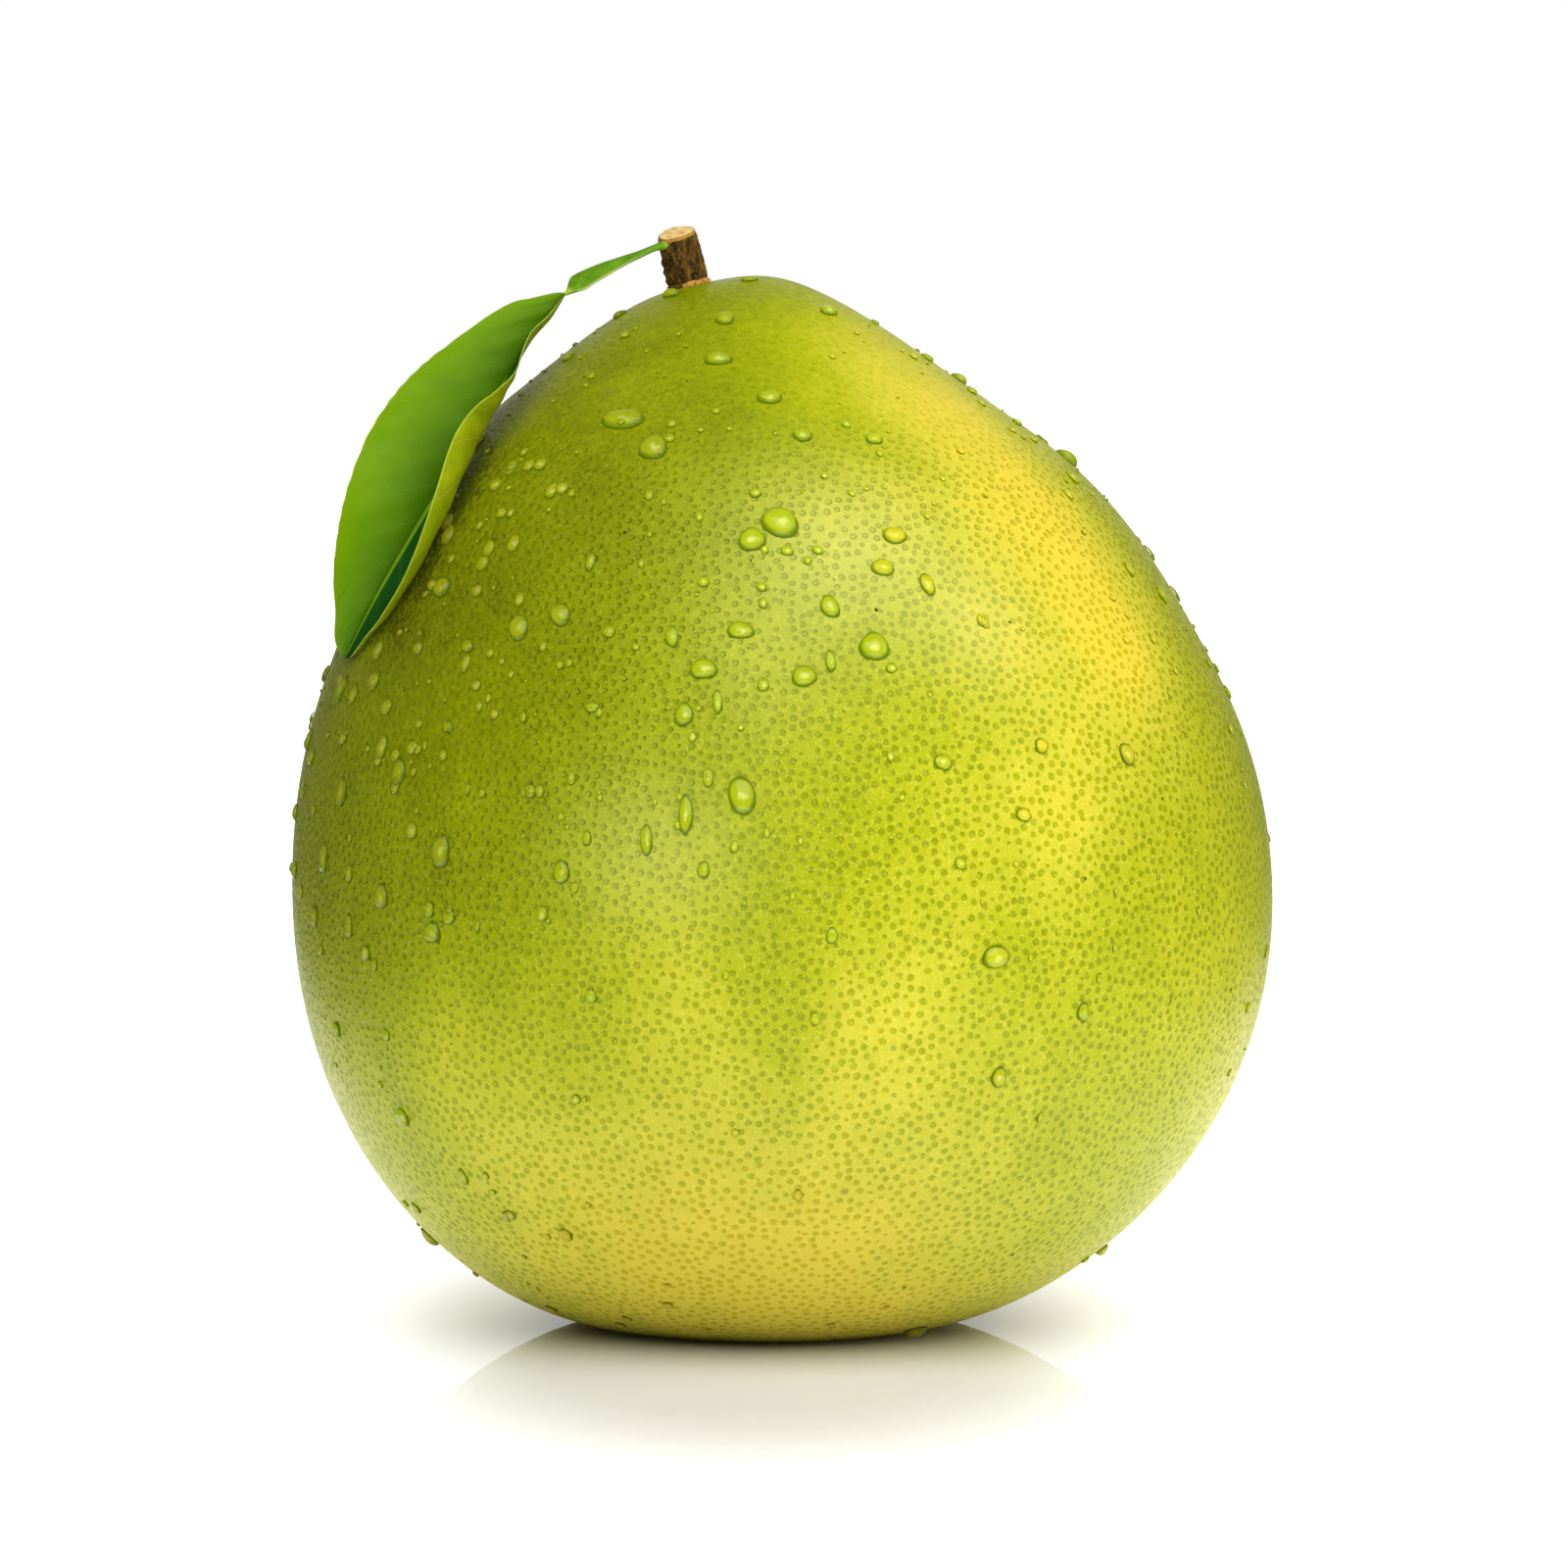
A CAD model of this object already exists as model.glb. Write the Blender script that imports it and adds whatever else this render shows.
import bmesh
import bpy
import numpy as np
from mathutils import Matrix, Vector


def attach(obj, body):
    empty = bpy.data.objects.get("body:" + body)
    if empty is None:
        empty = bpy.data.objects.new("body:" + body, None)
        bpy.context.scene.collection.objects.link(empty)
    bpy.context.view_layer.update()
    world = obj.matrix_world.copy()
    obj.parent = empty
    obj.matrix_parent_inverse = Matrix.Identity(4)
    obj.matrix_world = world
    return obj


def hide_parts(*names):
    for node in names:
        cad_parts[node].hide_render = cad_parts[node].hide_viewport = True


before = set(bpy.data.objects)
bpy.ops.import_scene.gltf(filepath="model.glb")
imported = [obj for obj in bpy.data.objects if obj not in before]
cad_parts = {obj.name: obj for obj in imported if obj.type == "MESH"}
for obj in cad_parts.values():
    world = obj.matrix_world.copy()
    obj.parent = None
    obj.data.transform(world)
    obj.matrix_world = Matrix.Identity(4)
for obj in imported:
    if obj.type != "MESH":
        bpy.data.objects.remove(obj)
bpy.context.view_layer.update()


# ------------------------------
# The fruit. A pomelo grows as one berry: a broad round belly, a blunt neck that leans to the stem
# side, and a thick rind full of small oil glands. Each gland is a green dot under the waxy skin,
# in a shallow pit. The rind ripens from olive green to lemon yellow, most on its sunny side.

MM = 0.001
# How far the skin is from its middle at every 15 degrees from the crown to the foot.
RADII = [88, 83, 77.7, 75.5, 73, 72.9, 73.8, 75.4, 76.9, 77.7, 77.4, 74.9, 72.4]
MIDDLE_HEIGHT = 71.7
CROWN_LEAN, FOOT_LEAN = -6.6, -3.0
# Waves round the girth: how many, how high, and their phase. Low forms by the stem: height, x
# and radius.
LOBES = [(2, 0.6, 0.6), (3, 0.45, 2.2), (5, 0.35, 1.1)]
CROWN_FORMS = [(-0.55, -12.0, 6.5), (0.4, 0.0, 7.0)]

GLAND_COUNT, GLAND_SEED, GLAND_SIZE_SEED = 24000, 5, 11
PIT_DEPTH = 0.06
LARGEST_GLAND, SMALLEST_GLAND = 0.6, 0.3
# Parts of the mean spacing: how far a gland is shaken, and the room that it pushes for.
GLAND_SHAKE, GLAND_ROOM = 0.4, 1.05
GLAND_PUSH, PUSH_ROUNDS = 0.35, 3
# How far a triangle that has no gland lies from one, in gland radii.
NO_GLAND = 9.0
SPIRAL_NEIGHBOURS = (1, 2, 3, 5, 8, 13, 21, 34, 55, 89, 144, 233, 377, 610, 987, 1597)


def skin(from_crown, around):
    """Skin points in mm for arrays of angles in radians, from the crown and round the girth.

    The radius is a cosine series through RADII plus sin^2(from_crown) times the LOBES. The middle
    line leans by CROWN_LEAN at the crown and FOOT_LEAN at the foot, each of CROWN_FORMS adds
    height * exp(-distance^2 / radius^2) near the stem, and the foot is pressed flat at height 0.
    """
    last = len(RADII) - 1
    steps = np.arange(last + 1)
    ends = np.where((steps == 0) | (steps == last), 0.5, 1.0)
    terms = 2 / last * ends * (np.cos(np.pi * np.outer(steps, steps) / last) @ (ends * RADII))
    radius = sum(term * np.cos(order * from_crown) for order, term in enumerate(terms))
    for count, height, phase in LOBES:
        radius = radius + np.sin(from_crown) ** 2 * height * np.cos(count * around + phase)
    up = np.cos(from_crown)
    lean = (CROWN_LEAN + FOOT_LEAN) / 2 * up**2 + (CROWN_LEAN - FOOT_LEAN) / 2 * up
    x = radius * np.sin(from_crown) * np.cos(around) + lean
    y = radius * np.sin(from_crown) * np.sin(around)
    z = radius * up + MIDDLE_HEIGHT
    for height, form_x, form_radius in CROWN_FORMS:
        z = z + (up > 0) * height * np.exp(-((x - form_x) ** 2 + y**2) / form_radius**2)
    return np.stack([x, y, np.maximum(z, 0)], axis=-1)


def unit(vector):
    """Vectors scaled to length 1."""
    return vector / np.linalg.norm(vector, axis=-1, keepdims=True)


def even_directions(count, seed):
    """Unit vectors spread over a ball as glands are over a rind: a Fibonacci spiral, shaken by
    a part of its spacing, then pushed apart along the spiral's own neighbour steps."""
    shake = np.random.default_rng(seed)
    place = np.arange(count) + 0.5
    height = 1 - 2 * place / count
    turn = place * np.pi * (3 - 5**0.5)
    level = np.sqrt(1 - height**2)
    points = np.stack([level * np.cos(turn), level * np.sin(turn), height], axis=-1)
    spacing = np.sqrt(4 * np.pi / count)
    points = unit(points + shake.normal(0, GLAND_SHAKE * spacing, points.shape))
    for _ in range(PUSH_ROUNDS):
        push = np.zeros_like(points)
        for step in SPIRAL_NEIGHBOURS:
            for side in (-step, step):
                other = np.clip(np.arange(count) + side, 0, count - 1)
                apart = points - points[other]
                length = np.linalg.norm(apart, axis=1, keepdims=True) + 1e-9
                close = np.clip(GLAND_ROOM * spacing - length, 0, None) * (length > 1e-6)
                push += GLAND_PUSH * close * apart / length
        points = unit(points + push)
    return points


def hull_triangles(points):
    """The triangles of the convex hull of points on a ball, facing outwards."""
    ball = bpy.data.meshes.new("ball of glands")
    ball.from_pydata(points.tolist(), [], [])
    hull = bmesh.new()
    hull.from_mesh(ball)
    bmesh.ops.convex_hull(hull, input=hull.verts)
    hull.to_mesh(ball)
    hull.free()
    triangles = np.empty(len(ball.loops), dtype=np.int32)
    ball.loops.foreach_get("vertex_index", triangles)
    triangles = triangles.reshape(-1, 3)
    bpy.data.meshes.remove(ball)
    a, b, c = (points[triangles[:, side]] for side in range(3))
    inward = np.einsum("ij,ij->i", np.cross(b - a, c - a), a + b + c) < 0
    triangles[inward] = triangles[inward][:, ::-1]
    return triangles


def quartered(triangles, count):
    """Each triangle cut at the middle of its edges into three corner triangles and a middle one.
    Gives the cut edges, the new triangles, and the corner point that each belongs to, or -1."""
    a, b, c = triangles.T
    pairs = np.sort(np.stack([[a, b], [b, c], [c, a]]).transpose(0, 2, 1), axis=2)
    edges, which = np.unique(pairs.reshape(-1, 2), axis=0, return_inverse=True)
    ab, bc, ca = which.reshape(3, -1) + count
    small = np.stack([[a, ab, ca], [b, bc, ab], [c, ca, bc], [ab, bc, ca]])
    owner = np.stack([a, b, c, np.full_like(a, -1)])
    return edges, small.transpose(0, 2, 1).reshape(-1, 3), owner.ravel()


def new_piece(name, points, faces, material):
    """A smooth mesh object at the origin from arrays of points in mm and of faces."""
    mesh = bpy.data.meshes.new(name)
    mesh.from_pydata((points * MM).tolist(), [], faces.tolist())
    mesh.shade_smooth()
    mesh.materials.append(material)
    made = bpy.data.objects.new(name, mesh)
    bpy.context.scene.collection.objects.link(made)
    return made


def add_attribute(piece, name, values, kind="FLOAT", domain="POINT"):
    """Stores an array of numbers or vectors on the points or face corners of a piece."""
    layer = piece.data.attributes.new(name, kind, domain)
    field = "vector" if kind == "FLOAT_VECTOR" else "value"
    layer.data.foreach_set(field, np.asarray(values, dtype=np.float32).ravel())


MAP_HALF = 0.49


def octahedron_map(directions, triangles):
    """Equal-area map of a ball on a square, for each corner of each triangle.

    With r = sqrt(1 - |z|) and p = angle round / 90 degrees inside an eighth of the ball, the
    upper half goes to (r - p r, p r) and the lower half to (1 - p r, 1 - r + p r).
    """
    turned = directions @ (np.array([[1, 1, 0], [-1, 1, 0], [0, 0, 2**0.5]]) / 2**0.5)
    corner = turned[triangles]
    eighth = np.where(corner.mean(axis=1, keepdims=True) < 0, -1.0, 1.0)
    x, y, z = np.moveaxis(corner * eighth, -1, 0)
    level = np.sqrt(np.clip(1 - z, 0, None))
    part = np.arctan2(y, x) * 2 / np.pi
    u, v = level * (1 - part), level * part
    below = eighth[..., 2] < 0
    u, v = np.where(below, 1 - v, u), np.where(below, 1 - u, v)
    flat = np.stack([u * eighth[..., 0], v * eighth[..., 1]], axis=-1)
    return (0.5 + MAP_HALF * flat).reshape(-1, 2)


def srgb(red, green, blue):
    """A colour given as 0-255 screen values, as the linear colour that shaders take."""
    part = np.array([red, green, blue]) / 255
    linear = np.where(part <= 0.04045, part / 12.92, ((part + 0.055) / 1.055) ** 2.4)
    return (*linear.tolist(), 1.0)


def new_material(name):
    """A material and its node tree, which is empty."""
    made = bpy.data.materials.new(name)
    made.use_nodes = True
    made.node_tree.nodes.clear()
    return made, made.node_tree


def add_node(tree, kind, inputs=(), **settings):
    """A shader node with its settings and inputs, each a value or another node's output."""
    made = tree.nodes.new("ShaderNode" + kind)
    for name, value in settings.items():
        setattr(made, name, value)
    for name, value in dict(inputs).items():
        if isinstance(value, bpy.types.NodeSocket):
            tree.links.new(value, made.inputs[name])
        else:
            made.inputs[name].default_value = value
    return made


def calc(tree, operation, first, second=0.0, third=0.0):
    """The output of a Math node."""
    inputs = {0: first, 1: second, 2: third}
    return add_node(tree, "Math", inputs, operation=operation).outputs[0]


def rescale(tree, value, low, high, to_low=0.0, to_high=1.0):
    """A value moved smoothly from one range to another and held at its ends."""
    inputs = {"Value": value, "From Min": low, "From Max": high, "To Min": to_low, "To Max": to_high}
    made = add_node(tree, "MapRange", inputs, interpolation_type="SMOOTHSTEP")
    return made.outputs["Result"]


def mix(tree, factor, first, second):
    """Two colours mixed by a factor."""
    inputs = {0: factor, 6: first, 7: second}
    return add_node(tree, "Mix", inputs, data_type="RGBA").outputs[2]


def ramp(tree, factor, stops):
    """A colour ramp through stops, each a place from 0 to 1 and a colour's three screen values."""
    made = add_node(tree, "ValToRGB", {"Fac": factor})
    elements = made.color_ramp.elements
    while len(elements) < len(stops):
        elements.new(0.5)
    for element, (place, *colour) in zip(elements, stops):
        element.position = place
        element.color = srgb(*colour)
    return made.outputs["Color"]


def place_on(tree):
    """The piece's own coordinates, in metres."""
    return add_node(tree, "TexCoord").outputs["Object"]


def stretched(tree, vector, scale, shift=(0, 0, 0)):
    """A vector scaled, then shifted."""
    inputs = {"Vector": vector, "Location": shift, "Scale": scale}
    return add_node(tree, "Mapping", inputs).outputs[0]


def vector_length(tree, vector):
    """The length of a vector."""
    return add_node(tree, "VectorMath", {0: vector}, operation="LENGTH").outputs["Value"]


def noise(tree, scale, detail=3.0, roughness=0.5, vector=None):
    """Noise from 0 to 1 on the piece's own coordinates; scale is in spots per metre."""
    inputs = {"Vector": vector or place_on(tree), "Scale": scale, "Detail": detail,
              "Roughness": roughness}
    return add_node(tree, "TexNoise", inputs).outputs["Fac"]


def swing(tree, *spots):
    """Noise from -0.5 to 0.5, with the same inputs."""
    return calc(tree, "SUBTRACT", noise(tree, *spots), 0.5)


def attribute(tree, name, output="Fac"):
    """An output of the named mesh attribute."""
    return add_node(tree, "Attribute", attribute_name=name).outputs[output]


def bumps(tree, height, depth, invert=False):
    """The surface's direction, turned by a relief: a height from 0 to 1 times a depth in mm."""
    inputs = {"Height": height, "Distance": depth * MM}
    return add_node(tree, "Bump", inputs, invert=invert).outputs["Normal"]


def finish_material(made, shader):
    """The material, with a shader joined to its output."""
    add_node(made.node_tree, "OutputMaterial", {"Surface": shader.outputs[0]})
    return made


def solid_material(made, inputs):
    """The material, finished with one Principled shader."""
    return finish_material(made, add_node(made.node_tree, "BsdfPrincipled", inputs))


GROUND_COLOURS = [
    (0.0, 76, 84, 0), (0.1, 111, 121, 0), (0.2, 122, 134, 0), (0.4, 146, 159, 2),
    (0.6, 172, 179, 14), (0.8, 200, 196, 50), (1.0, 228, 209, 62),
]
GLAND_COLOURS = [
    (0.0, 90, 96, 0), (0.2, 106, 118, 0), (0.4, 126, 140, 0), (0.6, 138, 148, 0),
    (0.8, 160, 167, 0), (1.0, 200, 181, 4),
]
# The rind is riper low down. Patches that differ: degrees from the crown and round the girth,
# reach down and round in degrees, and change of ripeness.
UPPER_RIPENESS, LOWER_RIPENESS = 0.43, 0.8
RIPENING_BAND = np.radians((86, 124))
RIPE_PATCHES = [
    (57, 222, 36, 36, -0.28), (30, 192, 8, 8, -0.12), (44, 211, 10, 3.5, -0.24),
    (57, 210, 7, 4, -0.2), (97, 210, 14, 20, -0.16), (8, 255, 12, 16, -0.14),
    (58, 262, 12, 12, 0.08), (72, 276, 26, 16, 0.07), (47, 286, 10, 12, 0.28),
    (24, 318, 14, 13, 0.44), (44, 321, 14, 13, 0.46), (63, 322, 12, 13, 0.46),
    (60, 301, 12, 9, 0.24), (80, 306, 12, 12, 0.34), (88, 292, 16, 14, 0.16),
    (92, 328, 20, 14, 0.16), (87, 253, 10, 10, 0.16), (103, 258, 12, 8, 0.12),
    (104, 281, 12, 9, 0.18), (109, 270, 10, 5, -0.16), (109, 246, 10, 5, -0.12),
    (144, 264, 14, 24, 0.24), (116, 318, 14, 20, -0.18), (130, 322, 14, 20, -0.2),
    (132, 270, 10, 28, 0.13), (122, 208, 16, 16, -0.26), (140, 234, 10, 14, -0.04),
    (70, 60, 30, 30, 0.2), (60, 130, 35, 30, -0.2), (95, 95, 20, 14, 0.15),
]
# Pale waxy bloom, given like the patches, and how much of it.
BLOOM_PATCHES = [
    (50, 283, 11, 11, 0.2), (59, 299, 8, 8, 0.12), (62, 269, 11, 8, 0.07),
    (86, 256, 9, 10, 0.12), (124, 280, 20, 45, 0.06),
]
BLOOM_COLOUR, SPECK_COLOUR, FLECK_COLOUR = srgb(226, 230, 170), srgb(60, 38, 4), srgb(244, 238, 110)
# The glands hardly show on the crown, nor on one shoulder, given like the patches.
CLEAR_AT_CROWN, CLEARING_BAND = 0.2, np.radians((18, 72))
DULL_SHOULDER = (68, 222, 34, 38, 0.75)
RIND_RELIEF = 0.25


def smooth_step(value, low, high):
    """0 below low, 1 above high, and 3 t^2 - 2 t^3 between them."""
    part = np.clip((value - low) / (high - low), 0, 1)
    return part * part * (3 - 2 * part)


def degrees_from(side, around):
    """How far round the girth from a side, -180 to 180, for angles in degrees."""
    return (around - side + 180) % 360 - 180


def hill(patch, down, around, narrowing=1.0):
    """A Gaussian hill for angles in degrees: 1 in the middle of a patch, exp(-1) at its reach."""
    middle, side, reach_down, reach_round = patch
    away_down = (down - middle) / reach_down
    away_round = degrees_from(side, around) * narrowing / reach_round
    return np.exp(-(away_round**2) - away_down**2)


def patches(rows, from_crown, around):
    """The sum of the rows' hills and hollows, whose reach round is measured on the skin."""
    down, turn = np.degrees(from_crown), np.degrees(around)
    return sum(change * hill(patch, down, turn, np.sin(from_crown)) for *patch, change in rows)


def ripeness(from_crown, around):
    """How ripe the rind is, 0 to 1: a smooth step down the fruit and the patches on it."""
    step = smooth_step(from_crown, *RIPENING_BAND)
    ripe = UPPER_RIPENESS + (LOWER_RIPENESS - UPPER_RIPENESS) * step
    return np.clip(ripe + patches(RIPE_PATCHES, from_crown, around), 0.02, 1)


def clearness(from_crown, around):
    """How clearly the glands show, 0 to 1. They come out by a smooth step down from the crown,
    and the patch on the dark left shoulder dulls them again."""
    clear = CLEAR_AT_CROWN + (1 - CLEAR_AT_CROWN) * smooth_step(from_crown, *CLEARING_BAND)
    *shoulder, loss = DULL_SHOULDER
    return clear * (1 - loss * hill(shoulder, np.degrees(from_crown), np.degrees(around)))


def rind_material():
    """Waxy rind: two colour ramps, for ground and glands, both driven by ripeness, which clouds,
    streaks down the fruit, grain and mottling make uneven. A gland shows up to its radius, where
    the rind is clear, and its pit deepens by a smooth step of 1 - distance^2. Over these lie
    pale bloom, a few dark specks and pale flecks."""
    made, tree = new_material("pomelo rind")
    clear, ripe = attribute(tree, "clearness"), attribute(tree, "ripeness")
    streaks = stretched(tree, place_on(tree), (1, 1, 0.3))
    for change, amount in (
        (swing(tree, 90, 4.0, 0.6), 0.22),
        (swing(tree, 70, 3.0, 0.6, streaks), 0.3),
        (swing(tree, 420, 3.0, 0.6), 0.2),
        (swing(tree, 1100, 3.0, 0.7), rescale(tree, clear, 0.2, 0.9, 0.5, 0.2)),
    ):
        ripe = calc(tree, "MULTIPLY_ADD", change, amount, ripe)
    wobble = swing(tree, 1500, 2.0)
    away = vector_length(tree, attribute(tree, "gland_offset", "Vector"))
    away = calc(tree, "MULTIPLY_ADD", wobble, 0.5, away)
    dot = calc(tree, "MULTIPLY", rescale(tree, away, 1.04, 0.86), clear)
    ground = ramp(tree, ripe, GROUND_COLOURS)
    gland_ripe = calc(tree, "MULTIPLY_ADD", attribute(tree, "gland_tint"), 0.05, ripe)
    colour = mix(tree, dot, ground, ramp(tree, gland_ripe, GLAND_COLOURS))
    colour = mix(tree, attribute(tree, "bloom"), colour, BLOOM_COLOUR)
    cells = add_node(tree, "TexVoronoi", {"Vector": place_on(tree), "Scale": 150.0})
    chance = calc(tree, "FRACT", calc(tree, "MULTIPLY", cells.outputs["Color"], 7.0))
    few = rescale(tree, chance, 0.6, 0.7)
    speck = calc(tree, "MULTIPLY_ADD", wobble, 0.06, cells.outputs["Distance"])
    speck = calc(tree, "MULTIPLY", rescale(tree, speck, 0.055, 0.03), few)
    colour = mix(tree, speck, colour, SPECK_COLOUR)
    fleck = rescale(tree, noise(tree, 2300, 3.0, 0.7), 0.5, 0.68, 0.0, 0.3)
    colour = mix(tree, calc(tree, "MULTIPLY", fleck, clear), colour, FLECK_COLOUR)
    pit = rescale(tree, calc(tree, "MULTIPLY", away, away), 1.0, 0.0)
    pit = calc(tree, "MULTIPLY", pit, rescale(tree, clear, 0.55, 1.0, 1.0, 0.3))
    pit = calc(tree, "MULTIPLY", pit, rescale(tree, clear, 0.2, 0.5, 0.3, 1.0))
    relief = calc(tree, "MULTIPLY_ADD", noise(tree, 2600, 2.0), -0.45, pit)
    return solid_material(made, {
        "Base Color": colour,
        "Roughness": rescale(tree, noise(tree, 300, 3.0), 0.3, 0.7, 0.3, 0.4),
        "Normal": bumps(tree, relief, RIND_RELIEF, invert=True),
        "Specular IOR Level": 0.12,
        "Specular Tint": (1.0, 1.0, 0.4, 1.0),
    })


def make_fruit():
    """The rind's mesh: one point on each gland and one between each two neighbours."""
    glands = even_directions(GLAND_COUNT, GLAND_SEED)
    triangles = hull_triangles(glands)
    used, triangles = np.unique(triangles, return_inverse=True)
    glands, triangles = glands[used], triangles.reshape(-1, 3)
    edges, small, owner = quartered(triangles, len(glands))
    directions = np.concatenate([glands, unit(glands[edges].sum(axis=1))])
    from_crown = np.arccos(np.clip(directions[:, 2], -1, 1))
    around = np.arctan2(directions[:, 1], directions[:, 0])
    points = skin(from_crown, around)
    points[: len(glands)] -= PIT_DEPTH * glands
    points[:, 2] = np.maximum(points[:, 2], 0)
    fruit = new_piece("pomelo_rind", points, small, rind_material())
    chance = np.random.default_rng(GLAND_SIZE_SEED)
    size = LARGEST_GLAND - (LARGEST_GLAND - SMALLEST_GLAND) * chance.uniform(0, 1, len(glands)) ** 3
    own = np.maximum(owner, 0)
    offset = (points[small] - points[own][:, None]) / size[own][:, None, None]
    offset[owner < 0] = NO_GLAND
    add_attribute(fruit, "gland_offset", offset, "FLOAT_VECTOR", "CORNER")
    tint = chance.uniform(-1, 1, len(glands))[own]
    add_attribute(fruit, "gland_tint", np.repeat(tint, 3), domain="CORNER")
    add_attribute(fruit, "ripeness", ripeness(from_crown, around))
    add_attribute(fruit, "clearness", clearness(from_crown, around))
    add_attribute(fruit, "bloom", patches(BLOOM_PATCHES, from_crown, around))
    flat = fruit.data.uv_layers.new(name="OFBake")
    flat.uv.foreach_set("vector", octahedron_map(directions, small).astype(np.float32).ravel())
    return fruit


fruit = make_fruit()
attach(fruit, "root")
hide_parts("fruit")


# ------------------------------
# The calyx. What is left of the flower's cup: a dry, five-lobed ring of tan cork pressed on the
# crown, cracked at its rim, with a darker olive lip on the leaf's side. It grows out of the fruit.

CALYX_X, CALYX_Y = -14.2, -0.3
CALYX_RADIUS, CALYX_HEIGHT, SINK = 3.4, 0.85, 0.4
# How far to each side the skin is felt for its slope under the calyx.
SEAT_REACH = 1.5
CALYX_COLUMNS = 120
# Parts of the radius and of the height, from the middle of the foot to the middle of the top.
CALYX_PROFILE = [(0, 0), (0.6, 0), (0.88, 0.02), (0.97, 0.12), (1.0, 0.28), (1.0, 0.45),
                 (0.97, 0.62), (0.92, 0.78), (0.86, 0.88), (0.78, 0.94), (0.6, 1.0), (0.3, 1.0),
                 (0, 1.0)]
TAN_CORK = [(0.35, 122, 76, 20), (0.52, 188, 138, 62), (0.7, 230, 190, 116)]
CORK_RELIEF = 0.2
# Where olive turns to tan, as x in metres.
OLIVE_EDGE = (-0.0158, -0.0142)
OLIVE_CORK = [(0.3, 48, 40, 8), (0.6, 104, 92, 18), (0.85, 150, 140, 40)]


def skin_above(x, y):
    """The skin point above a plan position near the crown, found by 60 steps half way to it."""
    from_crown, around = 0.1, np.pi
    for _ in range(60):
        here = skin(from_crown, around)
        wanted = np.hypot(x - CROWN_LEAN, y)
        found = np.hypot(here[0] - CROWN_LEAN, here[1])
        from_crown *= 1 + 0.5 * (wanted / found - 1)
        around = np.arctan2(y, x - CROWN_LEAN)
    return skin(from_crown, around)


def turn_up_to(points, direction):
    """Turns points so that +Z goes to a direction, by the shortest way."""
    turn = Vector((0, 0, 1)).rotation_difference(Vector(direction)).to_matrix()
    return points @ np.array(turn).T


def grid_faces(rows, columns):
    """Quads of a rows x columns grid of points, joined round from the last column to the first."""
    row, column = np.divmod(np.arange((rows - 1) * columns), columns)
    beside = (column + 1) % columns
    quads = [row * columns + column, row * columns + beside]
    quads += [(row + 1) * columns + beside, (row + 1) * columns + column]
    return np.stack(quads, axis=-1)


def close_up(piece):
    """Merges the points that lie together at a piece's poles and faces everything outwards."""
    shape = bmesh.new()
    shape.from_mesh(piece.data)
    bmesh.ops.remove_doubles(shape, verts=shape.verts, dist=1e-6)
    bmesh.ops.recalc_face_normals(shape, faces=shape.faces)
    shape.to_mesh(piece.data)
    shape.free()
    piece.data.shade_smooth()


def grid_piece(name, points, material, **marks):
    """A closed piece from a rows x columns grid of points whose first and last rows each lie on
    one spot, with the marks stored as attributes of its points."""
    rows, columns = points.shape[:2]
    made = new_piece(name, points.reshape(-1, 3), grid_faces(rows, columns), material)
    for mark, values in marks.items():
        add_attribute(made, mark, np.broadcast_to(values, (rows, columns)))
    close_up(made)
    return made


def round_angles(columns):
    """The angles of the columns of a grid that closes on itself, as one row."""
    return np.linspace(0, 2 * np.pi, columns, endpoint=False)[None, :]


seat = skin_above(CALYX_X, CALYX_Y)
east, west = (skin_above(CALYX_X + step, CALYX_Y) for step in (SEAT_REACH, -SEAT_REACH))
north, south = (skin_above(CALYX_X, CALYX_Y + step) for step in (SEAT_REACH, -SEAT_REACH))
skin_square = unit(np.cross(east - west, north - south))


def calyx_material():
    """Dry cork with a rough grain: orange tan on the right, dark olive on the left."""
    made, tree = new_material("dried calyx")
    grain = noise(tree, 1400, 5.0, 0.65)
    across = add_node(tree, "SeparateXYZ", {"Vector": place_on(tree)}).outputs["X"]
    side = calc(tree, "MULTIPLY_ADD", calc(tree, "SUBTRACT", grain, 0.5), 0.004, across)
    side = rescale(tree, side, *OLIVE_EDGE)
    olive, tan = ramp(tree, grain, OLIVE_CORK), ramp(tree, grain, TAN_CORK)
    return solid_material(made, {
        "Base Color": mix(tree, side, olive, tan),
        "Roughness": rescale(tree, grain, 0.3, 0.8, 0.65, 0.9),
        "Specular IOR Level": 0.15,
        "Normal": bumps(tree, grain, CORK_RELIEF),
    })


def make_calyx():
    """A profile turned round the stem, with five lobes and a cracked, uneven rim."""
    around = round_angles(CALYX_COLUMNS)
    out, up = np.hsplit(np.array(CALYX_PROFILE), 2)
    lobed = 1 + 0.05 * np.cos(5 * around + 0.8) * (1 - up)
    cracked = 1 + 0.025 * np.sin(17 * around + 3 * np.sin(3 * around)) * np.sin(np.pi * up)
    radius = out * CALYX_RADIUS * lobed * cracked
    height = up * (CALYX_HEIGHT + SINK) * (1 + 0.05 * np.sin(9 * around + 1) * out) - SINK
    points = np.stack([radius * np.cos(around), radius * np.sin(around), height], axis=-1)
    return grid_piece("dried_calyx", turn_up_to(points, skin_square) + seat, calyx_material())


calyx = make_calyx()
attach(calyx, "root")
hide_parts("calyx")


# ------------------------------
# The stem. A stub of woody twig, cut across slightly aslant with clippers. Thin dark bark with
# olive streaks and small bumps round pale wood, which shows as a ring and a disc at the cut.

STEM_LENGTH = 8.1
STEM_FOOT_RADIUS, STEM_TOP_RADIUS = 3.15, 2.9
STEM_LEAN = unit(np.array([-0.23, -0.24, 1.0]))
STEM_CUT_SLOPE = 0.08
STEM_COLUMNS = 160
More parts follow.
